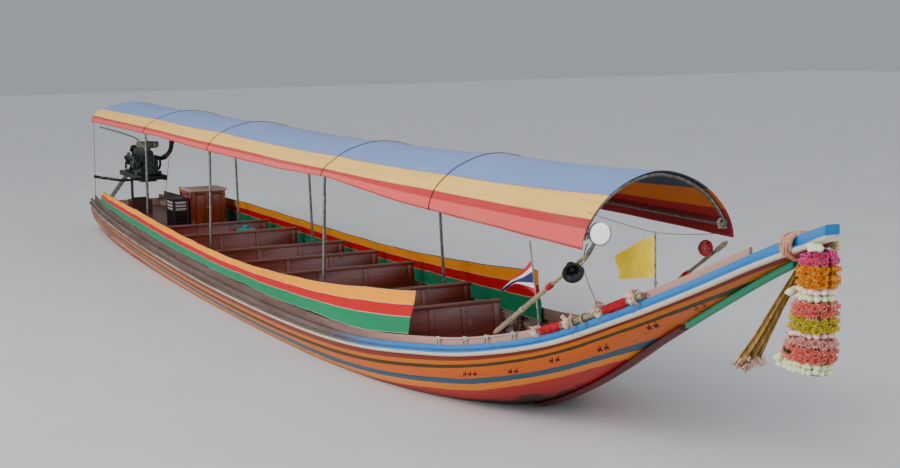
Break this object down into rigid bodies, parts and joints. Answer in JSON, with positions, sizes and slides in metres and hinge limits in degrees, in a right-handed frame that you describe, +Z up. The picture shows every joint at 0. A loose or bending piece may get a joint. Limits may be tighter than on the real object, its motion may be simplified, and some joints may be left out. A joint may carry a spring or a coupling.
{
  "type": "longtail boat",
  "caption": "Narrow wooden passenger river boat with a striped cloth canopy, benches, a dressed upswept prow and a swivelling, tilting engine whose propeller turns on a long tail.",
  "frame": {"origin": "on the waterline, on the centreline, below the outer face of the transom", "axes": "+X to the bow, +Y to port, +Z up"},
  "size_m": [17.2, 1.7698, 2.165],
  "materials": {
    "painted_hull": "satin, striped marine paint on planks",
    "weathered_wood": "weathered",
    "pink_painted_wood": "faded paint",
    "blue_paint": "gloss paint, chalky",
    "white_paint": "paint",
    "green_paint": "gloss paint",
    "varnished_wood": "varnished",
    "bench_paint": "gloss paint",
    "galvanised_pipe": "dull galvanised",
    "dark_steel": "oily black",
    "engine_iron": "green engine paint, oily",
    "khaki_metal": "satin",
    "lamp_body": "gloss, glass front",
    "red_lens": "gloss",
    "striped_cloth": "striped woven plastic cloth",
    "yellow_cloth": "thin cloth",
    "plain_cloth": "thin cloth",
    "flowers": "fresh flowers and leaves",
    "bamboo": "bare pole",
    "green_plastic": "gloss",
    "bronze": "cast bronze"
  },
  "bodies": {
    "boat": {"hull_bottom_aft": "painted_hull", "hull_bottom_fore": "painted_hull", "hull_side_starboard": "painted_hull", "hull_side_port": "painted_hull", "prow_head": "painted_hull", "transom": "weathered_wood", "keel": "weathered_wood", "cutwater": "green_paint", "washboard_starboard": "blue_paint", "washboard_port": "blue_paint", "coaming_starboard": "pink_painted_wood", "coaming_port": "pink_painted_wood", "rub_strip_starboard": "white_paint", "rub_strip_port": "white_paint", "aft_deck": "varnished_wood", "floorboards": "varnished_wood", "fore_deck": "pink_painted_wood", "bench_1": "bench_paint", "bench_2": "bench_paint", "bench_3": "bench_paint", "bench_4": "bench_paint", "bench_5": "bench_paint", "bench_6": "bench_paint", "bench_7": "bench_paint", "thwart_b": "varnished_wood", "thwart_c": "varnished_wood", "canopy_cloth": "striped_cloth", "hoop_a": "galvanised_pipe", "hoop_b": "galvanised_pipe", "hoop_c": "galvanised_pipe", "hoop_aft": "galvanised_pipe", "hoop_mid": "galvanised_pipe", "hoop_front": "galvanised_pipe", "purlin_starboard": "galvanised_pipe", "purlin_port": "galvanised_pipe", "front_strut_starboard": "bamboo", "front_strut_port": "bamboo", "curtain_starboard": "striped_cloth", "curtain_port": "striped_cloth", "cabinet": "varnished_wood", "slatted_locker": "varnished_wood", "jug": "green_plastic", "headlamp": "lamp_body", "horn": "dark_steel", "red_lamp": "red_lens", "yellow_flag": "yellow_cloth", "small_flag": "plain_cloth", "prow_wrap": "plain_cloth", "garlands": "flowers", "sash": "plain_cloth", "fender_pole": "bamboo", "pedestal": "varnished_wood"},
    "swivel": {"yoke": "dark_steel"},
    "engine": {"engine_frame": "dark_steel", "engine_block": "engine_iron", "air_cleaner": "khaki_metal", "exhaust": "dark_steel", "tiller": "dark_steel", "tail_tube": "galvanised_pipe"},
    "propeller": {"propeller": "bronze"}
  },
  "joints": [
    {"name": "engine_yaw", "type": "hinge", "parent": "boat", "child": "swivel", "pos_m": [0.8, 0, 0.42], "axis": [0, 0, 1], "range_deg": [-40, 40]},
    {"name": "engine_tilt", "type": "hinge", "parent": "swivel", "child": "engine", "pos_m": [0.8, 0, 0.7], "axis": [0, 1, 0], "range_deg": [-4, 10]},
    {"name": "propeller_spin", "type": "hinge", "parent": "engine", "child": "propeller", "pos_m": [-2.38207, 0, -0.26794], "axis": [-0.9336, 0, -0.3584], "continuous": true}
  ]
}
